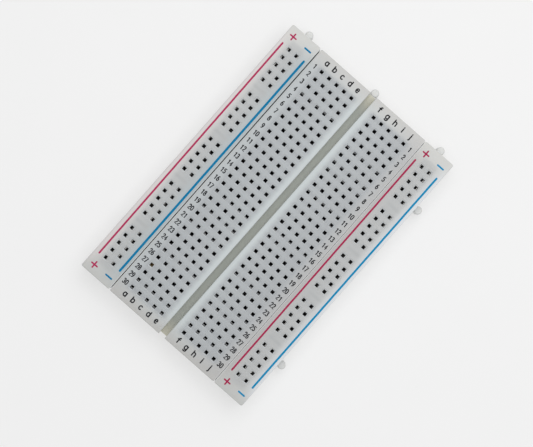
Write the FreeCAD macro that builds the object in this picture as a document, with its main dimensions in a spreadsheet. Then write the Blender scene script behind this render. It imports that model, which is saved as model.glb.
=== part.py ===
import FreeCAD, Part
import os
import re
import Sketcher

# Half-size solderless breadboard: a terminal strip between two power rails, each a white moulding on its own
# foam pad, with sprung contact clips inside. Millimetres. +X runs from column a to column j, +Y towards row 1,
# +Z up. The origin is the centre of the underside.

doc = FreeCAD.newDocument("breadboard")
dims = doc.addObject("Spreadsheet::Sheet", "Dims")

DIMENSIONS = {
    # tie-point grid
    "pitch": 2.54,
    "terminal_rows": 30,
    "clip_points": 5,
    "bus_groups": 5,
    # mouldings
    "board_length": 82.5,
    "strip_width": 35.6,
    "rail_width": 9.5,
    "left_seam": 0.25,
    "right_seam": 0.1,
    "shell_height": 8.5,
    "plate_thickness": 1.5,
    "strip_corner_radius": 0.35,
    "rail_corner_radius": 0.5,
    "rim_radius": 0.25,
    # tie points
    "throat_size": 0.95,
    "mouth_size": 1.6,
    "mouth_depth": 0.3,
    # channel that a chip straddles
    "channel_width": 2.0,
    "channel_depth": 4.0,
    "channel_floor_setback": 0.45,
    "spine_relief_width": 3.0,
    "spine_relief_height": 3.2,
    "spine_relief_length": 74.0,
    # keys that join one moulding to the next, and their slots
    "key_radius": 1.1,
    "key_reach": 1.0,
    "key_height": 3.6,
    "key_chamfer": 0.3,
    "key_clearance": 0.1,
    "key_headroom": 0.2,
    "side_key_spacing": 53.6,
    # contact clips
    "cavity_width": 1.94,
    "cavity_end_room": 0.4,
    "clip_width": 1.4,
    "clip_metal": 0.25,
    "clip_wall_height": 1.9,
    "clip_lift": 0.15,
    "clip_play": 0.24,
    "bus_skew": 0.37,
    "clip_height": 6.2,
    "pinch_height": 4.7,
    "pinch_gap": 0.1,
    "tip_gap": 1.15,
    "finger_width": 1.9,
    # adhesive backing
    "foam_thickness": 1.0,
    "liner_thickness": 0.12,
    "backing_inset": 0.3,
    "backing_corner_radius": 0.5,
    "backing_notch_margin": 0.3,
}

# rows whose clips have slid along the board to one side of their rooms, so that a leaf's tip shows in the hole
SLID_UP = {"a_to_e": (17, 19, 21, 25, 29, 30), "f_to_j": (1, 12, 16, 17, 22, 25, 26, 28, 29)}
SLID_DOWN = {"a_to_e": (4,), "f_to_j": (5, 7, 8, 11)}

# formulas used by more than one sub-part
SHELL_BASE = "foam_thickness+liner_thickness"
CLIP_CENTRE = "(1.5+(clip_points-1)/2)*pitch"
GROUP_PITCH = "(clip_points+1)*pitch"


def moulding_centre(side):
    """Middle of a moulding across the board. side is -1 for the left rail, 0 for the strip, 1 for the right."""
    return {
        -1: "-(strip_width/2+left_seam+rail_width/2)",
        0: "0",
        1: "strip_width/2+right_seam+rail_width/2",
    }[side]


def clip_length(groups):
    """Length of a clip with that many groups of contacts."""
    return f"({groups}-1)*{GROUP_PITCH}+(clip_points-1)*pitch+finger_width"


def first_contact(groups):
    """Place of a clip's first contact along its length, from the clip's middle."""
    return f"-({groups}-1)/2*{GROUP_PITCH}-(clip_points-1)/2*pitch"


def fill_sheet():
    """Writes one named dimension per row: name in column A, value and alias in column B."""
    for row, (name, value) in enumerate(DIMENSIONS.items(), start=1):
        dims.set(f"A{row}", name)
        dims.set(f"B{row}", str(value))
        dims.setAlias(f"B{row}", name)
    doc.recompute()


def of_sheet(formula):
    """Turns a formula in plain dimension names into an expression on the sheet."""
    return re.sub("[a-z_]+", r"Dims.\g<0>", formula)


def size(formula):
    """The present value of a formula in dimension names."""
    return float(dims.evalExpression(of_sheet(formula)))


def bind(feature, **formulas):
    """Binds properties of a feature to formulas in dimension names."""
    for prop, formula in formulas.items():
        feature.setExpression(prop, of_sheet(formula))


def place(feature, x="0", y="0", z="0", within="Placement"):
    """Binds a placement's position to three formulas."""
    for axis, formula in zip("xyz", (x, y, z)):
        feature.setExpression(f"{within}.Base.{axis}", of_sheet(formula))


def origin_of(body, role):
    """An origin plane or axis of a body, such as XY_Plane."""
    return next(item for item in body.Origin.OriginFeatures if item.Role == role)


def new_body(label):
    body = doc.addObject("PartDesign::Body", label)
    body.Label = label
    return body


def polygon_sketch(body, name, plane, outlines, offset="0"):
    """A sketch of closed outlines, each a list of corners given as pairs of formulas."""
    sketch = body.newObject("Sketcher::SketchObject", name)
    sketch.AttachmentSupport = [(origin_of(body, plane), "")]
    sketch.MapMode = "FlatFace"
    place(sketch, z=offset, within="AttachmentOffset")
    for corners in outlines:
        first = sketch.GeometryCount
        points = [FreeCAD.Vector(size(x), size(y), 0) for x, y in corners]
        for start, end in zip(points, points[1:] + points[:1]):
            sketch.addGeometry(Part.LineSegment(start, end))
        for index, ((x, y), point) in enumerate(zip(corners, points)):
            line, previous = first + index, first + (index - 1) % len(corners)
            sketch.addConstraint(Sketcher.Constraint("Coincident", previous, 2, line, 1))
            for kind, formula, value in (("DistanceX", x, point.x), ("DistanceY", y, point.y)):
                datum = sketch.addConstraint(Sketcher.Constraint(kind, -1, 1, line, 1, value))
                sketch.setExpression(f"Constraints[{datum}]", of_sheet(formula))
    return sketch


def rectangle(width, length):
    """Corners of a rectangle about the origin."""
    return [
        (f"-({width})/2", f"-({length})/2"),
        (f"({width})/2", f"-({length})/2"),
        (f"({width})/2", f"({length})/2"),
        (f"-({width})/2", f"({length})/2"),
    ]


def pad(body, name, sketch, height, both_ways=False):
    feature = body.newObject("PartDesign::Pad", name)
    feature.Profile = sketch
    if both_ways:
        feature.SideType = "Symmetric"
    bind(feature, Length=height)
    return feature


def primitive(body, kind, name, x, y, z, **formulas):
    """A PartDesign box, cylinder or wedge standing at (x, y, z) on the body's XY plane."""
    feature = body.newObject(f"PartDesign::{kind}", name)
    feature.AttachmentSupport = [(origin_of(body, "XY_Plane"), "")]
    feature.MapMode = "FlatFace"
    bind(feature, **formulas)
    place(feature, x, y, z, within="AttachmentOffset")
    return feature


def centred_box(body, kind, name, x, y, z, width, length, height):
    """A box whose base is centred on (x, y)."""
    return primitive(
        body, kind, name, f"{x}-({width})/2", f"{y}-({length})/2", z,
        Length=width, Width=length, Height=height,
    )


def pattern(body, name, originals, steps):
    """Repeats features in a grid. Each step is an axis of the body, a spacing and a count."""
    grid = body.newObject("PartDesign::MultiTransform", name)
    grid.Originals = originals
    grid.Refine = False
    runs = []
    for number, (axis, spacing, count) in enumerate(steps, start=1):
        run = body.newObject("PartDesign::LinearPattern", f"{name}_{number}")
        run.Direction = (origin_of(body, axis), [""])
        run.Mode = "Spacing"
        bind(run, Offset=spacing, Occurrences=count)
        runs.append(run)
    grid.Transformations = runs
    body.Tip = grid
    return grid


def round_edges(body, name, radius, chosen):
    """Fillets the edges of the body's present shape that chosen(bounding box) picks."""
    doc.recompute()
    tip = body.Tip
    edges = [
        f"Edge{number}"
        for number, edge in enumerate(tip.Shape.Edges, start=1)
        if chosen(edge.BoundBox)
    ]
    fillet = body.newObject("PartDesign::Fillet", name)
    fillet.Base = (tip, edges)
    bind(fillet, Radius=radius)
    body.Tip = fillet
    doc.recompute()
    return fillet


def level(box, height):
    """Whether an edge lies flat at a height."""
    return abs(box.ZMin - height) < 1e-6 and abs(box.ZMax - height) < 1e-6


def upright(box):
    return box.XLength < 1e-6 and box.YLength < 1e-6


# ---------------------------------------------------------------- mouldings


def key_places(width, sign, reach):
    """Centres of the keys (sign +) or slots (sign -) of one moulding: two on a side and one on an end."""
    side_x = f"{sign}({width}/2+{reach})"
    return {
        "upper": (side_x, "side_key_spacing/2"),
        "lower": (side_x, "-side_key_spacing/2"),
        "end": ("0", f"{sign}(board_length/2+{reach})"),
    }


def add_keys(body, width):
    """Two round keys on the +X side and one on the +Y end, each sunk part of the way into the wall."""
    stem = "key_height-key_chamfer"
    for name, (x, y) in key_places(width, "+", "key_reach").items():
        primitive(body, "AdditiveCylinder", f"{name}_key", x, y, "0", Radius="key_radius", Height=stem)
        primitive(
            body, "AdditiveCone", f"{name}_key_tip", x, y, stem,
            Radius1="key_radius", Radius2="key_radius-key_chamfer", Height="key_chamfer",
        )


def cut_slots(body, width, seam, height, margin):
    """Slots for the next moulding's keys: two on the -X side and one on the -Y end, open underneath."""
    for name, (x, y) in key_places(width, "-", f"{seam}-key_reach").items():
        primitive(
            body, "SubtractiveCylinder", f"{name}_slot", x, y, "0",
            Radius=f"key_radius+{margin}", Height=height,
        )


def clip_room(label, along, groups):
    """The room for one clip, centred on the origin and running along one axis: a chamber open underneath,
    with a square tie point through the top plate over each contact, a straight throat below a sloping mouth."""
    body = new_body(label)
    x_long = along == "X_Axis"
    length = f"{clip_length(groups)}+2*cavity_end_room"
    width, depth = (length, "cavity_width") if x_long else ("cavity_width", length)
    centred_box(
        body, "AdditiveBox", f"{label}_chamber", "0", "0", "0",
        width, depth, "shell_height-plate_thickness",
    )
    first = first_contact(groups)
    x, y = (first, "0") if x_long else ("0", first)
    steps = [(along, "pitch", "clip_points"), (along, GROUP_PITCH, groups)]
    throat = centred_box(
        body, "AdditiveBox", f"{label}_throat", x, y, "shell_height-plate_thickness",
        "throat_size", "throat_size", "plate_thickness-mouth_depth",
    )
    pattern(body, f"{label}_throats", [throat], steps)
    mouth = primitive(
        body, "AdditiveWedge", f"{label}_mouth", x, y, "shell_height-mouth_depth",
        Xmin="-throat_size/2", Xmax="throat_size/2", Zmin="-throat_size/2", Zmax="throat_size/2",
        X2min="-mouth_size/2", X2max="mouth_size/2", Z2min="-mouth_size/2", Z2max="mouth_size/2",
        Ymin="0", Ymax="mouth_depth",
    )
    # a wedge grows along its own Y, which is turned to point up
    mouth.setExpression("AttachmentOffset.Rotation.Axis.x", "1")
    mouth.setExpression("AttachmentOffset.Rotation.Axis.z", "0")
    mouth.setExpression("AttachmentOffset.Rotation.Angle", "90")
    pattern(body, f"{label}_mouths", [mouth], steps)
    return body


def repeat_whole(body, name, axis, spacing, count):
    """Repeats all of a body's shape along one axis."""
    doc.recompute()
    run = body.newObject("PartDesign::LinearPattern", name)
    run.TransformMode = "Whole shape"
    run.Direction = (origin_of(body, axis), [""])
    run.Mode = "Spacing"
    run.Refine = False
    bind(run, Offset=spacing, Occurrences=count)
    body.Tip = run


def cut_away(body, name, tool):
    """Cuts another body's shape out of this one."""
    boolean = body.newObject("PartDesign::Boolean", name)
    boolean.Type = "Cut"
    boolean.Refine = False
    boolean.addObjects([tool])
    body.Tip = boolean


def moulding_block(body, width, corner_radius):
    """The plain outer block, with its upright corners rounded."""
    outline = polygon_sketch(body, "outline", "XY_Plane", [rectangle(width, "board_length")])
    pad(body, "block", outline, "shell_height")
    round_edges(body, "corner_rounding", corner_radius, upright)


def round_rim(body):
    """Breaks every edge of the top face."""
    top = size("shell_height")
    round_edges(body, "rim_rounding", "rim_radius", lambda box: level(box, top))


def terminal_strip():
    body = new_body("terminal_strip")
    moulding_block(body, "strip_width", "strip_corner_radius")
    centred_box(
        body, "SubtractiveBox", "channel", "0", "0", "shell_height-channel_depth",
        "channel_width", "board_length+2*rim_radius", "channel_depth+rim_radius",
    )
    centred_box(
        body, "SubtractiveBox", "channel_floor_end", "0", "-(board_length/2)", "0",
        "channel_width", "2*channel_floor_setback", "shell_height",
    )
    round_rim(body)
    centred_box(
        body, "SubtractiveBox", "spine_relief", "0", "0", "0",
        "spine_relief_width", "spine_relief_length", "spine_relief_height",
    )
    add_keys(body, "strip_width")
    cut_slots(body, "strip_width", "left_seam", "key_height+key_headroom", "key_clearance")

    for side, sign in (("left", "-"), ("right", "+")):
        room = clip_room(f"{side}_clip_rooms", "X_Axis", "1")
        repeat_whole(room, f"{side}_rows", "Y_Axis", "pitch", "terminal_rows")
        place(room, x=f"{sign}{CLIP_CENTRE}", y="-(terminal_rows-1)/2*pitch")
        cut_away(body, f"{side}_cut", room)
    place(body, z=SHELL_BASE)
    return body


def power_rail(label, side):
    """One rail moulding. side is -1 for the left and 1 for the right; both rails are the same moulding."""
    body = new_body(label)
    moulding_block(body, "rail_width", "rail_corner_radius")
    round_rim(body)
    add_keys(body, "rail_width")
    cut_slots(body, "rail_width", "right_seam", "key_height+key_headroom", "key_clearance")

    room = clip_room(f"{label}_clip_rooms", "Y_Axis", "bus_groups")
    repeat_whole(room, f"{label}_columns", "X_Axis", "pitch", "2")
    place(room, x="-pitch/2")
    cut_away(body, f"{label}_cut", room)
    place(body, x=moulding_centre(side), z=SHELL_BASE)
    return body


# ---------------------------------------------------------------- contact clips


def leaf(side):
    """Section of one sprung leaf: it leans in to the pinch and flares out to the tip. side is + or -."""
    return [
        (f"{side}(clip_width/2-clip_metal)", "clip_wall_height"),
        (f"{side}clip_width/2", "clip_wall_height"),
        (f"{side}(pinch_gap/2+clip_metal)", "pinch_height"),
        (f"{side}(tip_gap/2+clip_metal/2)", "clip_height"),
        (f"{side}(tip_gap/2-clip_metal/2)", "clip_height"),
        (f"{side}pinch_gap/2", "pinch_height"),
    ]


def spring_clip(label, groups):
    """A folded strip of contact metal along X: a trough with pairs of leaves standing on it."""
    body = new_body(label)
    wall, base = "clip_width/2", "clip_metal"
    trough = [
        (f"-{wall}", "0"), (wall, "0"), (wall, "clip_wall_height"), (f"{wall}-clip_metal", "clip_wall_height"),
        (f"{wall}-clip_metal", base), (f"-{wall}+clip_metal", base),
        (f"-{wall}+clip_metal", "clip_wall_height"), (f"-{wall}", "clip_wall_height"),
    ]
    section = polygon_sketch(body, "trough_section", "YZ_Plane", [trough])
    pad(body, "trough", section, clip_length(groups), both_ways=True)
    leaves = polygon_sketch(body, "leaf_section", "YZ_Plane", [leaf("+"), leaf("-")], first_contact(groups))
    finger = pad(body, "finger", leaves, "finger_width", both_ways=True)
    pattern(
        body, "fingers", [finger],
        [("X_Axis", "pitch", "clip_points"), ("X_Axis", GROUP_PITCH, groups)],
    )
    return body


def seat_of(half, number):
    """How the clip in one half of a row sits in its room."""
    if number in SLID_UP[half]:
        return "up"
    return "down" if number in SLID_DOWN[half] else "middle"


def contact_rows():
    """Thirty rows, each of two five-point clips, one on each side of the channel."""
    clips = {}
    for half, side in (("a_to_e", "-"), ("f_to_j", "+")):
        for seat, shift in (("middle", "0"), ("up", "clip_play"), ("down", "-clip_play")):
            clip = spring_clip(f"clip_{half}_{seat}", "1")
            place(clip, x=f"{side}{CLIP_CENTRE}", y=shift)
            clips[half, seat] = clip
    rows = []
    for number in range(1, int(size("terminal_rows")) + 1):
        row = doc.addObject("Part::Compound", f"contact_row_{number:02d}")
        row.Label = f"contact_row_{number:02d}"
        row.Links = [clips[half, seat_of(half, number)] for half in ("a_to_e", "f_to_j")]
        place(
            row, y=f"((terminal_rows+1)/2-{number})*pitch",
            z=f"{SHELL_BASE}+clip_lift",
        )
        rows.append(row)
    return rows


def power_bus(label, rail_side, column_side):
    """One continuous bus clip, under one column of a rail. It lies slightly askew in its room (degrees)."""
    body = spring_clip(label, "bus_groups")
    body.Placement = FreeCAD.Placement(
        FreeCAD.Vector(), FreeCAD.Rotation(FreeCAD.Vector(0, 0, 1), 90)
    )
    body.setExpression("Placement.Rotation.Angle", of_sheet(f"90+{column_side}*bus_skew"))
    place(
        body, x=f"{moulding_centre(rail_side)}+{column_side}*pitch/2",
        z=f"{SHELL_BASE}+clip_lift",
    )
    return body


# ---------------------------------------------------------------- adhesive backing


def backing(label, width, seam, side, thickness, height):
    """A die-cut sheet under one moulding, notched where the next moulding's keys pass."""
    body = new_body(label)
    outline = polygon_sketch(
        body, "outline", "XY_Plane",
        [rectangle(f"{width}-2*backing_inset", "board_length-2*backing_inset")],
    )
    pad(body, "sheet", outline, thickness)
    round_edges(body, "corner_rounding", "backing_corner_radius", upright)
    cut_slots(body, width, seam, thickness, "key_clearance+backing_notch_margin")
    place(body, x=moulding_centre(side), z=height)
    return body


def backings():
    """A foam pad and a release liner for each of the three mouldings."""
    layers = []
    for name, width, seam, side in (
        ("left_rail", "rail_width", "right_seam", -1),
        ("terminal", "strip_width", "left_seam", 0),
        ("right_rail", "rail_width", "right_seam", 1),
    ):
        layers.append(backing(f"{name}_foam_pad", width, seam, side, "foam_thickness", "liner_thickness"))
        layers.append(backing(f"{name}_release_liner", width, seam, side, "liner_thickness", "0"))
    return layers


# ---------------------------------------------------------------- assembly and export


def check_document():
    """Stops on any failed feature, before anything is written."""
    for item in doc.Objects:
        if {"Invalid", "Error"} & set(item.State):
            raise RuntimeError(f"{item.Name} ({item.Label}) failed: {item.State}")


def write_parts(parts):
    os.makedirs("parts", exist_ok=True)
    for item in parts:
        shape = item.Shape
        if shape.isNull() or not shape.isValid() or not shape.Solids:
            raise RuntimeError(f"{item.Label} has no valid solid")
    for item in parts:
        item.Shape.exportStep(f"parts/{item.Label}.step")
        print(f"{item.Label}: {len(item.Shape.Solids)} solid(s), {item.Shape.Volume:.1f} mm3")


fill_sheet()
parts = [
    terminal_strip(),
    power_rail("left_power_rail", -1),
    power_rail("right_power_rail", 1),
    *contact_rows(),
    power_bus("left_positive_bus", -1, -1),
    power_bus("left_negative_bus", -1, 1),
    power_bus("right_positive_bus", 1, -1),
    power_bus("right_negative_bus", 1, 1),
    *backings(),
]
doc.recompute()
check_document()
write_parts(parts)
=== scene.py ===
import math
import random

import bmesh
import bpy
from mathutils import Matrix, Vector


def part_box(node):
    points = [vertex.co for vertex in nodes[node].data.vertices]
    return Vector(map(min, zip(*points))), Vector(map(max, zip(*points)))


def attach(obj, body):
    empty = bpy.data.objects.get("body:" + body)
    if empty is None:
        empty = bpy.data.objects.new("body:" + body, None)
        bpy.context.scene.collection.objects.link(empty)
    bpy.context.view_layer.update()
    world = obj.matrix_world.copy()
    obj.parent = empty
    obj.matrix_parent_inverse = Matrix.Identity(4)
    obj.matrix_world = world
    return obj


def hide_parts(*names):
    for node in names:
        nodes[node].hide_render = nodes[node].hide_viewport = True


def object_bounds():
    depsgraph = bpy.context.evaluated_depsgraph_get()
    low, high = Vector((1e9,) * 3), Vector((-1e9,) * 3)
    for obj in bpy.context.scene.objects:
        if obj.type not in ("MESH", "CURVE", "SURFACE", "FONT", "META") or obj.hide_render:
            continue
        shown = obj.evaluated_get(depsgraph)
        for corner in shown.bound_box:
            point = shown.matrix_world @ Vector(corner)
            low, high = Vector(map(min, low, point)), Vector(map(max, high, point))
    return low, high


# The looks of a half-size solderless breadboard: moulded plastic, printed ink, sprung metal and foam backing.
# +X runs from column a to column j, +Y towards row 1, +Z up. Metres.

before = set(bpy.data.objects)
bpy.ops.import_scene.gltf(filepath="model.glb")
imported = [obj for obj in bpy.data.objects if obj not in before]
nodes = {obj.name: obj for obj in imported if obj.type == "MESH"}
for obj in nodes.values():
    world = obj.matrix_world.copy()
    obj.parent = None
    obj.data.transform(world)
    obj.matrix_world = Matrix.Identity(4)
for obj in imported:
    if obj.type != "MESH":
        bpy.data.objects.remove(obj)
cad_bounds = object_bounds()
draw = random.Random(7)

MM = 0.001
PITCH = 2.54 * MM

strip_low, strip_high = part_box("terminal_strip")
TOP = strip_high.z
CONTACT_ROWS = sorted(name for name in nodes if name.startswith("contact_row_"))
BUSES = sorted(name for name in nodes if name.endswith("_bus"))


# ---------------------------------------------------------------- node materials


class Shader:
    """Builds one material's node tree. Values that come from other nodes are passed as sockets."""

    def __init__(self, name):
        self.material = bpy.data.materials.new(name)
        self.material.use_nodes = True
        self.tree = self.material.node_tree
        self.surface = self.tree.nodes["Principled BSDF"]

    def add(self, kind, settings=None, **inputs):
        """A new node of that kind. Inputs are named as on the node, with _ for a space."""
        made = self.tree.nodes.new(f"ShaderNode{kind}")
        for key, value in (settings or {}).items():
            setattr(made, key, value)
        for key, value in inputs.items():
            self.feed(made.inputs[key.replace("_", " ")], value)
        return made

    def feed(self, socket, value):
        if isinstance(value, bpy.types.NodeSocket):
            self.tree.links.new(value, socket)
        else:
            socket.default_value = value

    def math(self, operation, *values):
        made = self.add("Math", {"operation": operation})
        for socket, value in zip(made.inputs, values):
            self.feed(socket, value)
        return made.outputs[0]

    def mix(self, share, low, high):
        """The low colour where share is 0, and the high one where it is 1."""
        made = self.add("Mix", {"data_type": "RGBA"})
        for socket, value in zip([made.inputs[0], made.inputs[6], made.inputs[7]], [share, low, high]):
            self.feed(socket, value)
        return made.outputs[2]

    def place(self):
        """Object coordinates, which are the row frame's metres at rest."""
        return self.add("TexCoord").outputs["Object"]

    def noise(self, scale, detail, stretch=(1, 1, 1)):
        """Noise whose features are about 1/scale metres across, from 0 to 1."""
        spread = self.add("Mapping", Vector=self.place(), Scale=stretch)
        made = self.add("TexNoise", Vector=spread.outputs[0], Scale=scale, Detail=detail, Roughness=0.55)
        return made.outputs["Fac"]

    def between(self, value, low, high):
        """Maps a 0 to 1 value to low to high."""
        made = self.add("MapRange", Value=value)
        made.inputs["To Min"].default_value = low
        made.inputs["To Max"].default_value = high
        return made.outputs[0]

    def ramp(self, value, start, end):
        """Rises smoothly from 0 at start to 1 at end; start may be the larger."""
        made = self.add("MapRange", {"interpolation_type": "SMOOTHSTEP"}, Value=value)
        made.inputs["From Min"].default_value = start
        made.inputs["From Max"].default_value = end
        return made.outputs[0]

    def tones(self, value, stops):
        """A colour that changes evenly between stops, which are (value, sRGB tone) in rising order."""
        first, last = stops[0][0], stops[-1][0]
        share = self.add("MapRange", Value=value)
        share.inputs["From Min"].default_value = first
        share.inputs["From Max"].default_value = last
        made = self.add("ValToRGB", Fac=share.outputs[0])
        elements = made.color_ramp.elements
        while len(elements) < len(stops):
            elements.new(0.5)
        for element, (at, tone) in zip(elements, stops):
            element.position = (at - first) / (last - first)
            element.color = colour(*tone)
        return made.outputs[0]

    def bump(self, height, strength, distance):
        made = self.add("Bump", Strength=strength, Distance=distance, Height=height)
        return made.outputs[0]

    def finish(self, **inputs):
        """Sets the surface's inputs and gives the material."""
        for key, value in inputs.items():
            self.feed(self.surface.inputs[key.replace("_", " ")], value)
        return self.material


def colour(red, green, blue):
    """An sRGB colour, 0 to 255, as linear RGBA."""
    def linear(value):
        value /= 255
        return value / 12.92 if value <= 0.04045 else ((value + 0.055) / 1.055) ** 2.4
    return (linear(red), linear(green), linear(blue), 1.0)


MOUTH_DEPTH = 0.3 * MM
CHANNEL_HALF_WIDTH = 1.0 * MM
# painted shade: the greyness over a clip room fades out across this half width at the room's edge
ROOM_EDGE_BLUR = 0.9 * MM       # half the width over which a room's edge shows through the plate
END_WALL = -strip_low.y         # y of the wall that the end keys stand on


def hollow_mask(shader, offset, y, hollow_from, hollow_to, row_phase):
    """Where painted shade lies on the plate over the clip rooms: 1 above a room, less above the walls between
    rows.
    """
    across = shader.math("ABSOLUTE", offset)
    over_rooms = shader.math(
        "MULTIPLY",
        shader.ramp(across, hollow_from - ROOM_EDGE_BLUR, hollow_from + ROOM_EDGE_BLUR),
        shader.ramp(across, hollow_to + ROOM_EDGE_BLUR, hollow_to - ROOM_EDGE_BLUR),
    )
    before_ends = shader.ramp(shader.math("ABSOLUTE", y), 38.6 * MM, 37.0 * MM)
    turn = shader.math("MULTIPLY_ADD", y, 2 * math.pi / PITCH, row_phase)
    rows = shader.between(shader.math("COSINE", turn), 0.72, 1.0)
    return shader.math("MULTIPLY", shader.math("MULTIPLY", over_rooms, before_ends), rows)


def channel_tint(shader, tone, x, along):
    """The channel's floor and walls are warmer than the plate and darker by painted shade, and palest by its
    open ends, by painted light.
    """
    inside = shader.math(
        "MULTIPLY",
        shader.ramp(shader.math("ABSOLUTE", x), CHANNEL_HALF_WIDTH + 0.1 * MM, CHANNEL_HALF_WIDTH),
        shader.ramp(along, END_WALL - 0.05 * MM, END_WALL - 0.25 * MM),
    )
    near_end = shader.ramp(along, 35.0 * MM, 40.5 * MM)
    return shader.mix(inside, tone, shader.mix(near_end, colour(185, 189, 181), colour(206, 204, 189)))


def mouth_tint(shader, tone, z):
    """The holes' sloped mouths are brighter: painted light that lifts the shade on their slopes, as if light
    came through their thin edges.
    """
    inside = shader.math(
        "MULTIPLY",
        shader.ramp(z, TOP - 0.02 * MM, TOP - 0.1 * MM),
        shader.ramp(z, TOP - MOUTH_DEPTH - 0.05 * MM, TOP - MOUTH_DEPTH),
    )
    return shader.mix(shader.math("MULTIPLY", inside, 0.4), tone, colour(235, 238, 240))


def key_tint(shader, tone, offset, y, side_wall):
    """Painted light on the solid keys, which stand out from the walls that face +X and +Y: they are paler,
    which lifts the shade the board casts on them.
    """
    outside = shader.math(
        "MAXIMUM",
        shader.ramp(offset, side_wall + 0.08 * MM, side_wall + 0.18 * MM),
        shader.ramp(y, END_WALL, END_WALL + 0.1 * MM),
    )
    return shader.mix(outside, tone, colour(217, 218, 216))


def seam_tint(shader, tone, x, along, towards_top, seam):
    """The walls of a seam are brighter: painted light that lifts the shade in the narrow gap, as if light
    came through from both mouldings.
    seam is its x, and its brightness at the -Y end and at the +Y end."""
    seam_x, bottom_share, top_share = seam
    near = shader.ramp(shader.math("ABSOLUTE", shader.math("SUBTRACT", x, seam_x)), 0.3 * MM, 0.1 * MM)
    at_end = shader.math("MULTIPLY", shader.ramp(along, 37.0 * MM, 40.0 * MM), 0.5)
    share = shader.math("MAXIMUM", shader.between(towards_top, bottom_share, top_share), at_end)
    return shader.mix(shader.math("MULTIPLY", near, share), tone, colour(252, 252, 252))


def moulding_material(name, centre, hollow, hollow_shade_tone, tones, end_tones_and_light, seams):
    """White moulded plastic, cooler in tone in the middle and slightly yellowed at the ends. It carries
    painted shade over the hollow clip rooms, greyer there as if light passed through it, and painted light at
    the +Y end, which is lighter than the -Y end. centre is the x of the moulding's middle. hollow is the
    nearest and furthest distance of the rooms from there, and the phase of their rows. tones are the plate's
    tones across its width, as (distance from the centre, tone), partly its own and partly painted light and
    shade. end_tones_and_light are the tones of its -Y and +Y ends, and seams are the ones beside it. The
    channel, the holes' mouths, the keys and the seams get painted light and shade of their own."""
    shader = Shader(name)
    x, y, z = shader.add("SeparateXYZ", Vector=shader.place()).outputs
    offset = shader.math("SUBTRACT", x, centre)
    along = shader.math("ABSOLUTE", y)
    towards_top = shader.ramp(y, -36.0 * MM, 36.0 * MM)

    # painted light: the +Y end is lighter than the -Y end
    end_tone = shader.mix(towards_top, *(colour(*tone) for tone in end_tones_and_light))
    # the tones across the width: partly the plastic's own, partly painted light and shade
    tone = shader.mix(shader.ramp(along, 42.0 * MM, 34.0 * MM), end_tone, shader.tones(offset, tones))
    # painted shade: the plate is greyer over the hollow clip rooms
    tone = shader.mix(hollow_mask(shader, offset, y, *hollow), tone, colour(*hollow_shade_tone))
    # painted shade in the channel, and painted light by its open ends
    tone = channel_tint(shader, tone, x, along)
    # painted light in the holes' sloped mouths
    tone = mouth_tint(shader, tone, z)
    # painted light on the keys
    tone = key_tint(shader, tone, offset, y, tones[-1][0])
    # painted light in the seams
    for seam in seams:
        tone = seam_tint(shader, tone, x, along, towards_top, seam)

    cloud = shader.between(shader.noise(90, detail=4), 0.0, 0.14)
    grain = shader.noise(9000, detail=2)
    sink = shader.noise(220, detail=1)
    return shader.finish(
        Base_Color=shader.mix(cloud, tone, colour(150, 154, 160)),
        Roughness=shader.between(shader.noise(600, detail=3), 0.38, 0.52),
        IOR=1.52,
        Subsurface_Weight=0.2,
        Subsurface_Scale=0.3 * MM,
        Subsurface_Radius=(1.0, 0.95, 0.85),
        Normal=shader.bump(shader.math("MULTIPLY_ADD", sink, 6.0, grain), 0.25, 0.02 * MM),
    )


def contact_material(name, clean, dull, residue_x=None):
    """Nickel-plated spring metal, with the faint lines of rolled strip and a little tarnish.
    A contact within half a pitch of residue_x is covered in dried brown flux."""
    shader = Shader(name)
    rolled = shader.noise(2500, detail=3, stretch=(0.06, 1, 1))
    tarnish = shader.noise(160, detail=4)
    base = shader.mix(tarnish, colour(*clean), colour(*dull))
    bare = 1.0
    if residue_x is not None:
        x = shader.add("SeparateXYZ", Vector=shader.place()).outputs[0]
        away = shader.math("ABSOLUTE", shader.math("SUBTRACT", x, residue_x))
        bare = shader.ramp(away, PITCH / 2 - 0.1 * MM, PITCH / 2)
        base = shader.mix(bare, shader.mix(tarnish, colour(243, 229, 190), colour(226, 208, 166)), base)
    return shader.finish(
        Base_Color=base,
        Metallic=bare,
        Roughness=shader.between(rolled, 0.36, 0.5),
        Normal=shader.bump(rolled, 0.2, 0.01 * MM),
    )


def foam_material():
    """Closed-cell foam tape: fine bubbles cut open at the edges."""
    shader = Shader("foam")
    cells = shader.add("TexVoronoi", Vector=shader.place(), Scale=5200)
    cloud = shader.noise(300, detail=4)
    base = shader.mix(cloud, colour(226, 221, 206), colour(238, 234, 222))
    return shader.finish(
        Base_Color=base,
        Roughness=0.9,
        Subsurface_Weight=0.25,
        Subsurface_Scale=0.6 * MM,
        Normal=shader.bump(cells.outputs["Distance"], 0.6, 0.06 * MM),
    )


def liner_material():
    """Siliconised release paper: faint fibres under a smooth waxy face."""
    shader = Shader("release_liner")
    fibres = shader.noise(1500, detail=5, stretch=(1, 0.25, 1))
    mottle = shader.noise(120, detail=3)
    base = shader.mix(mottle, colour(229, 222, 201), colour(238, 233, 216))
    base = shader.mix(shader.between(fibres, 0, 0.25), base, colour(210, 198, 168))
    return shader.finish(
        Base_Color=base,
        Roughness=shader.between(mottle, 0.35, 0.5),
        Normal=shader.bump(fibres, 0.15, 0.02 * MM),
    )


def ink_material(name, dark, light):
    """Pad-printed ink: slightly uneven in tone, and thin where the pad lifted."""
    shader = Shader(name)
    patch = shader.noise(700, detail=4)
    return shader.finish(
        Base_Color=shader.mix(patch, dark, light),
        Specular_IOR_Level=0.12,
        Roughness=shader.between(patch, 0.55, 0.7),
        Normal=shader.bump(shader.noise(5000, detail=2), 0.2, 0.01 * MM),
    )


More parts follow.
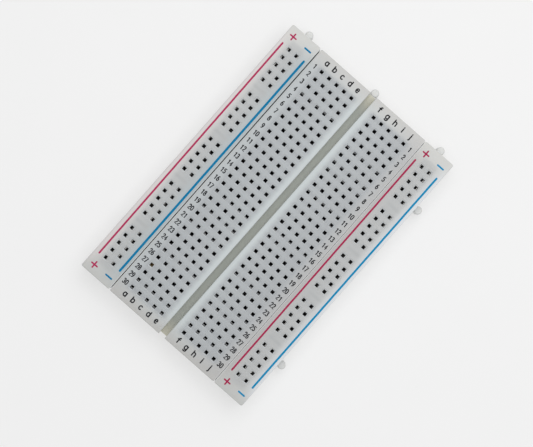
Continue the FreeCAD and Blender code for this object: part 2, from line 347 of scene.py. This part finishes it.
def floor_material():
    """A white light table: its own even glow keeps the shadows beside the board faint."""
    shader = Shader("floor")
    paper = shader.noise(40, detail=5)
    return shader.finish(
        Base_Color=shader.mix(paper, colour(165, 165, 165), colour(168, 168, 168)),
        Roughness=0.9,
        Emission_Color=colour(255, 255, 255),
        Emission_Strength=0.5,
    )


# ---------------------------------------------------------------- mesh helpers


def new_piece(name, mesh_builder, material, body):
    """Makes a mesh object from a bmesh, and lets it ride on a CAD body."""
    mesh = bpy.data.meshes.new(name)
    bmesh.ops.recalc_face_normals(mesh_builder, faces=mesh_builder.faces)
    mesh_builder.to_mesh(mesh)
    mesh_builder.free()
    mesh.materials.append(material)
    piece = bpy.data.objects.new(name, mesh)
    bpy.context.scene.collection.objects.link(piece)
    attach(piece, body)
    return piece


INK_THICKNESS = 0.012 * MM


def stroke(build, points, width, closed=False, layer=0):
    """One printed stroke: a thin closed ribbon along flat points, with rounded ends if it is open.
    layer is 1 for a stroke that crosses an earlier one: its ink lies a little higher."""
    count = len(points)
    widths = [width] * count
    if not closed:
        first, last = Vector(points[0]), Vector(points[-1])
        out_first = (first - Vector(points[1])).normalized()
        out_last = (last - Vector(points[-2])).normalized()
        points = [first + out_first * width * 0.42, *points, last + out_last * width * 0.42]
        widths = [width * 0.5, *widths, width * 0.5]
        count += 2
    ink_top = INK_THICKNESS * (1 + 0.3 * layer)
    rings = []
    for index, point in enumerate(points):
        before = Vector(points[index - 1]) if closed or index else Vector(point)
        after = Vector(points[(index + 1) % count]) if closed or index < count - 1 else Vector(point)
        direction = (after - before).normalized()
        side = Vector((-direction.y, direction.x)) * widths[index] / 2
        left, right = Vector(point) + side, Vector(point) - side
        rings.append([
            build.verts.new((spot.x, spot.y, TOP + level))
            for spot, level in ((left, 0), (left, ink_top), (right, ink_top), (right, 0))
        ])
    pairs = list(zip(rings, rings[1:]))
    if closed:
        pairs.append((rings[-1], rings[0]))
    for near, far in pairs:
        for corner in range(4):
            following = (corner + 1) % 4
            build.faces.new((near[corner], near[following], far[following], far[corner]))
    if not closed:
        build.faces.new(rings[0])
        build.faces.new(reversed(rings[-1]))


def arc(centre_x, centre_y, radius_x, radius_y, start, end, steps=10):
    """Points along an elliptical arc, angles in degrees."""
    turns = [math.radians(start + (end - start) * step / steps) for step in range(steps + 1)]
    return [(centre_x + radius_x * math.cos(turn), centre_y + radius_y * math.sin(turn)) for turn in turns]


def ring(centre_x, centre_y, radius_x, radius_y):
    return arc(centre_x, centre_y, radius_x, radius_y, 0, 330, 11)


# Plain single-line characters, one unit high. Each stroke is (points, whether it closes).
BOWL = (ring(0.3, 0.36, 0.27, 0.36), True)
GLYPHS = {
    "0": [(arc(0.3, 0.7, 0.26, 0.3, 0, 180, 6) + arc(0.3, 0.3, 0.26, 0.3, 180, 360, 6), True)],
    "1": [([(0.14, 0.78), (0.36, 1.0), (0.36, 0.0)], False)],
    "2": [(arc(0.3, 0.72, 0.25, 0.28, 165, -35) + [(0.05, 0.0), (0.56, 0.0)], False)],
    "3": [
        (arc(0.28, 0.76, 0.23, 0.24, 150, -80), False),
        (arc(0.28, 0.27, 0.27, 0.27, 80, -150), False),
    ],
    "4": [([(0.42, 0.0), (0.42, 1.0), (0.03, 0.28), (0.58, 0.28)], False)],
    "5": [([(0.52, 1.0), (0.12, 1.0), (0.08, 0.56)] + arc(0.28, 0.32, 0.26, 0.31, 110, -150), False)],
    "6": [(ring(0.3, 0.3, 0.25, 0.3), True), (arc(0.48, 0.32, 0.43, 0.68, 178, 95, 6), False)],
    "7": [([(0.05, 1.0), (0.56, 1.0), (0.22, 0.0)], False)],
    "8": [(ring(0.3, 0.76, 0.21, 0.24), True), (ring(0.3, 0.27, 0.26, 0.27), True)],
    "9": [(ring(0.3, 0.7, 0.25, 0.3), True), (arc(0.12, 0.68, 0.43, 0.68, -2, -85, 6), False)],
    "a": [BOWL, ([(0.58, 0.72), (0.58, 0.0)], False)],
    "b": [BOWL, ([(0.02, 1.0), (0.02, 0.0)], False)],
    "c": [(arc(0.32, 0.36, 0.27, 0.36, 48, 312), False)],
    "d": [BOWL, ([(0.58, 1.0), (0.58, 0.0)], False)],
    "e": [([(0.05, 0.38)] + arc(0.31, 0.36, 0.26, 0.36, 4, 315, 12), False)],
    "f": [
        ([(0.26, 0.0), (0.26, 0.8)] + arc(0.46, 0.8, 0.2, 0.2, 170, 80, 5), False),
        ([(0.06, 0.68), (0.5, 0.68)], False),
    ],
    "g": [BOWL, ([(0.58, 0.72), (0.58, -0.08)] + arc(0.31, -0.08, 0.27, 0.24, -10, -150, 7), False)],
    "h": [
        ([(0.05, 1.0), (0.05, 0.0)], False),
        (arc(0.31, 0.44, 0.25, 0.28, 170, 0, 7) + [(0.56, 0.0)], False),
    ],
    "i": [([(0.3, 0.72), (0.3, 0.0)], False), ([(0.3, 0.94), (0.3, 0.98)], False)],
    "j": [
        ([(0.38, 0.72), (0.38, -0.12)] + arc(0.24, -0.12, 0.14, 0.14, -15, -85, 4), False),
        ([(0.38, 0.94), (0.38, 0.98)], False),
    ],
}
GLYPH_WIDTH = 0.6
GLYPH_GAP = 0.2


def write(build, text, centre, height, weight, aspect=1.0):
    """Prints text centred on a point. height is a digit's, and a lower aspect narrows the characters."""
    advance = (GLYPH_WIDTH + GLYPH_GAP) * height * aspect
    left = centre[0] - (len(text) * advance - GLYPH_GAP * height * aspect) / 2
    bottom = centre[1] - height / 2
    for number, letter in enumerate(text):
        for layer, (points, closed) in enumerate(GLYPHS[letter]):
            spots = [
                (left + number * advance + x * height * aspect, bottom + y * height) for x, y in points
            ]
            stroke(build, spots, weight, closed, layer)


# ---------------------------------------------------------------- printing


def rail_middle(rail):
    low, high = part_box(f"{rail}_foam_pad")
    return (low.x + high.x) / 2


def letter_x(index, spread):
    """Centre of the letter for column 0 to 9: a to e left of the channel, f to j right of it.
    The letters are set slightly wider apart than the columns, by spread."""
    steps_out = 4 - index if index < 5 else index - 5
    side = -1 if index < 5 else 1
    return side * PITCH * (1.5 + spread * steps_out)


def row_y(number):
    """Centre of terminal row 1 to 30."""
    return (15.5 - number) * PITCH


def print_row_numbers(material):
    for side, x in (("left", strip_low.x + 1.6 * MM), ("right", -strip_low.x - 1.55 * MM)):
        build = bmesh.new()
        for number in range(1, 31):
            centre = (x, row_y(number))
            write(build, str(number), centre, height=1.26 * MM, weight=0.27 * MM, aspect=0.78)
        new_piece(f"{side}_row_numbers", build, material, "terminal")


def print_column_letters(material):
    # the lower row is printed slightly to the right, and wider
    for end, y, shift, spread in (
        ("upper", 39.5 * MM, -0.05 * MM, 1.027), ("lower", -39.15 * MM, 0.27 * MM, 1.045),
    ):
        build = bmesh.new()
        for index, letter in enumerate("abcdefghij"):
            centre = (letter_x(index, spread) + shift, y)
            write(build, letter, centre, height=1.48 * MM, weight=0.34 * MM)
        new_piece(f"{end}_column_letters", build, material, "terminal")


def print_line(build, x, half_length, width, lean):
    """A long printed line whose edges wander very slightly. Its -Y end lies further right by lean."""
    steps = 60
    points = []
    for step in range(steps + 1):
        wander = draw.uniform(-0.012, 0.012) * MM
        points.append((x + lean * step / steps + wander, half_length * (1 - 2 * step / steps)))
    stroke(build, points, width)


def print_sign(build, x, y, width, upright):
    """A minus sign, or a plus sign where it has an upright stroke too."""
    arm = 0.92 * MM
    stroke(build, [(x - arm, y), (x + arm, y)], width)
    if upright:
        stroke(build, [(x, y + arm), (x, y - arm)], width, layer=1)


def print_polarity(rail, red, blue, blue_width):
    """A red line with plus signs on the left of a rail, and a blue line with minus signs on its right.
    Each colour was printed slightly turned, so its -Y end lies further right by its lean."""
    middle = rail_middle(rail)
    line_end = 35.8 * MM

    build = bmesh.new()
    lean = 0.29 * MM
    print_line(build, middle - 3.6 * MM, line_end, 0.48 * MM, lean)
    print_sign(build, middle - 2.56 * MM, 38.74 * MM, 0.4 * MM, upright=True)
    print_sign(build, middle - 2.53 * MM + lean, -38.86 * MM, 0.4 * MM, upright=True)
    new_piece(f"{rail}_positive_print", build, red, rail)

    build = bmesh.new()
    lean = 0.08 * MM
    print_line(build, middle + 3.64 * MM, line_end, blue_width, lean)
    print_sign(build, middle + 2.48 * MM, 38.6 * MM, 0.46 * MM, upright=False)
    print_sign(build, middle + 2.5 * MM + lean, -38.82 * MM, 0.46 * MM, upright=False)
    new_piece(f"{rail}_negative_print", build, blue, rail)


# ---------------------------------------------------------------- foam backing


def outline_of(node, height):
    """The points round a CAD node's flat face at that height, in order."""
    mesh = nodes[node].data
    uses = {}
    for polygon in mesh.polygons:
        corners = [mesh.vertices[index].co for index in polygon.vertices]
        if any(abs(corner.z - height) > 1e-6 for corner in corners):
            continue
        keys = [(round(corner.x, 7), round(corner.y, 7)) for corner in corners]
        for start, end in zip(keys, keys[1:] + keys[:1]):
            uses[frozenset((start, end))] = uses.get(frozenset((start, end)), 0) + 1
    neighbours = {}
    for edge, count in uses.items():
        if count == 1 and len(edge) == 2:
            start, end = sorted(edge)
            neighbours.setdefault(start, []).append(end)
            neighbours.setdefault(end, []).append(start)
    loop = [min(neighbours)]
    loop.append(min(neighbours[loop[0]]))
    while True:
        onward = [spot for spot in neighbours[loop[-1]] if spot != loop[-2]]
        if not onward or onward[0] == loop[0]:
            return loop
        loop.append(onward[0])


def spaced(loop, step):
    """The closed loop's points with more added, so that none is further than step from the next."""
    points = []
    for start, end in zip(loop, loop[1:] + loop[:1]):
        run = Vector(end) - Vector(start)
        pieces = max(1, math.ceil(run.length / step))
        points += [Vector(start) + run * piece / pieces for piece in range(pieces)]
    return points


# the cut edge of the foam, as (share of its thickness, how far it is drawn in)
FOAM_EDGE = ((0.0, 0.07 * MM), (0.15, 0.02 * MM), (0.5, 0.0), (0.85, 0.02 * MM), (1.0, 0.07 * MM))
FOAM_ROUGHNESS = 0.035 * MM


def foam_pad(node, body, material):
    """A die-cut foam sheet: its cut edge is drawn in at the top and bottom, and rough with cut cells."""
    low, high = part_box(node)
    points = spaced(outline_of(node, high.z), 0.4 * MM)
    area = sum(a.x * b.y - b.x * a.y for a, b in zip(points, points[1:] + points[:1]))
    if area < 0:
        points.reverse()
    count = len(points)
    build = bmesh.new()
    rings = []
    for share, inset in FOAM_EDGE:
        verts = []
        for index, point in enumerate(points):
            along = (points[(index + 1) % count] - points[index - 1]).normalized()
            inward = Vector((-along.y, along.x))
            rough = draw.uniform(0.0, FOAM_ROUGHNESS) if 0 < share < 1 else 0.0
            spot = point + inward * (inset + rough)
            verts.append(build.verts.new((spot.x, spot.y, low.z + (high.z - low.z) * share)))
        rings.append(verts)
    for lower, upper in zip(rings, rings[1:]):
        for index in range(count):
            following = (index + 1) % count
            build.faces.new((lower[index], lower[following], upper[following], upper[index]))
    build.faces.new(reversed(rings[0]))
    build.faces.new(rings[-1])
    piece = new_piece(node.replace("_pad", "_backing"), build, material, body)
    for polygon in piece.data.polygons:
        polygon.use_smooth = len(polygon.vertices) == 4
    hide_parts(node)


# ---------------------------------------------------------------- dressing the CAD nodes


def dress(names, material):
    for name in names:
        nodes[name].data.materials.clear()
        nodes[name].data.materials.append(material)


# each seam's x, and how much painted light brightens its walls at -Y and at +Y
LEFT_SEAM = (strip_low.x - 0.12 * MM, 1.0, 0.25)
RIGHT_SEAM = (-strip_low.x + 0.05 * MM, 0.55, 0.55)

# the plates' tones at distances from their middles: palest beside the channel and at the outer sides. They
# are partly the plastic's own tone and partly painted light and shade, such as the lit +X side of the right
# rail and the shaded outer edge of the left rail.
TERMINAL_TONES_AND_SHADE = [
    (-17.8 * MM, (181, 186, 187)), (-15.6 * MM, (183, 188, 190)), (-2.6 * MM, (197, 204, 205)),
    (2.6 * MM, (198, 205, 206)), (15.6 * MM, (180, 182, 183)), (17.8 * MM, (179, 179, 178)),
]
RAIL_TONES_AND_SHADE = {
    "left": [
        (-4.75 * MM, (204, 200, 199)), (-4.2 * MM, (214, 208, 207)), (-3.0 * MM, (203, 201, 199)),
        (-1.0 * MM, (201, 202, 201)), (1.6 * MM, (179, 186, 188)), (4.7 * MM, (171, 180, 182)),
    ],
    "right": [
        (-4.7 * MM, (176, 174, 173)), (-2.0 * MM, (187, 187, 186)), (1.0 * MM, (197, 198, 197)),
        (3.2 * MM, (203, 206, 207)), (4.7 * MM, (221, 224, 227)),
    ],
}

dress(["terminal_strip"], moulding_material(
    "terminal_plastic", centre=0.0, hollow=(2.46 * MM, 15.32 * MM, math.pi), hollow_shade_tone=(164, 168, 171),
    tones=TERMINAL_TONES_AND_SHADE, end_tones_and_light=[(184, 183, 180), (197, 196, 193)], seams=[LEFT_SEAM, RIGHT_SEAM],
))
for side, seam in (("left", LEFT_SEAM), ("right", RIGHT_SEAM)):
    dress([f"{side}_power_rail"], moulding_material(
        f"{side}_rail_plastic", rail_middle(f"{side}_rail"), hollow=(-1.0 * MM, 2.24 * MM, 0.0),
        hollow_shade_tone=(176, 178, 178), tones=RAIL_TONES_AND_SHADE[side],
        end_tones_and_light=[(190, 191, 188), (206, 206, 202)], seams=[seam],
    ))

# The rows' clips get a darkened copy of the metal, a painted shade that dims their glints, and the buses'
# clips a lighter copy, a painted highlight that brightens theirs.
shaded_row_metal = {"clean": (152, 153, 154), "dull": (126, 127, 128)}
column_a = -5.5 * PITCH
dress(CONTACT_ROWS, contact_material("shaded_row_contact_metal", **shaded_row_metal))
dress(["contact_row_27"], contact_material("stained_contact_metal", **shaded_row_metal, residue_x=column_a))
dress(BUSES, contact_material("bus_contact_metal", clean=(190, 189, 186), dull=(166, 165, 162)))
dress([name for name in nodes if name.endswith("_release_liner")], liner_material())

black = ink_material("black_ink", colour(24, 24, 27), colour(40, 40, 44))
# The two rails' reds and blues are lighter and darker copies of one red and one blue ink: painted light and
# painted shade.
lit_red = ink_material("left_red_ink", colour(167, 40, 83), colour(178, 51, 94))
shaded_blue = ink_material("left_blue_ink", colour(0, 113, 157), colour(4, 121, 166))
shaded_red = ink_material("right_red_ink", colour(157, 30, 71), colour(169, 42, 84))
lit_blue = ink_material("right_blue_ink", colour(6, 131, 177), colour(16, 139, 186))
print_row_numbers(black)
print_column_letters(black)
print_polarity("left_rail", lit_red, shaded_blue, blue_width=0.62 * MM)
print_polarity("right_rail", shaded_red, lit_blue, blue_width=0.53 * MM)

foam = foam_material()
for body in ("left_rail", "terminal", "right_rail"):
    foam_pad(f"{body}_foam_pad", body, foam)


# ---------------------------------------------------------------- floor, light and camera


def add_floor():
    mesh = bpy.data.meshes.new("floor")
    build = bmesh.new()
    bmesh.ops.create_grid(build, x_segments=2, y_segments=2, size=3.0)
    build.to_mesh(mesh)
    build.free()
    mesh.materials.append(floor_material())
    floor = bpy.data.objects.new("floor", mesh)
    floor.location.z = cad_bounds[0].z - 0.02 * MM
    bpy.context.scene.collection.objects.link(floor)


def add_area(name, place, size, power):
    """A square soft light that faces the board's middle."""
    light = bpy.data.lights.new(name, "AREA")
    light.size = size
    light.energy = power
    lamp = bpy.data.objects.new(name, light)
    lamp.location = place
    lamp.rotation_euler = (-Vector(place)).to_track_quat("-Z", "Y").to_euler()
    bpy.context.scene.collection.objects.link(lamp)


def add_world(brightness):
    world = bpy.data.worlds.new("studio")
    bpy.context.scene.world = world
    world.use_nodes = True
    background = world.node_tree.nodes["Background"]
    background.inputs["Color"].default_value = (1, 1, 1, 1)
    background.inputs["Strength"].default_value = brightness


SENSOR_WIDTH = 36.0
PICTURE_WIDTH = 533
SCALE = 3.893 / MM            # picture units per metre of board
ROLL = math.radians(41.4)     # the board lies turned in the picture
CAMERA_PLACE = Vector((1.15 * MM, -1.75 * MM, 0.45))


def add_camera():
    """A camera straight above the board, turned so that the board lies diagonally."""
    data = bpy.data.cameras.new("camera")
    data.sensor_width = SENSOR_WIDTH
    field = PICTURE_WIDTH / SCALE
    data.lens = SENSOR_WIDTH * (CAMERA_PLACE.z - TOP) / field
    data.clip_start = 0.01
    data.clip_end = 20.0
    camera = bpy.data.objects.new("camera", data)
    camera.location = CAMERA_PLACE
    camera.rotation_euler = (0.0, 0.0, ROLL)
    bpy.context.scene.collection.objects.link(camera)
    bpy.context.scene.camera = camera


add_floor()
add_world(brightness=0.52)
add_area("overhead_light", (0.0, 0.12, 0.9), size=0.8, power=3.43)
add_area("key_light", (0.0, 0.12, 0.23), size=0.16, power=0.115)
add_camera()
bpy.context.scene.view_settings.view_transform = "Standard"
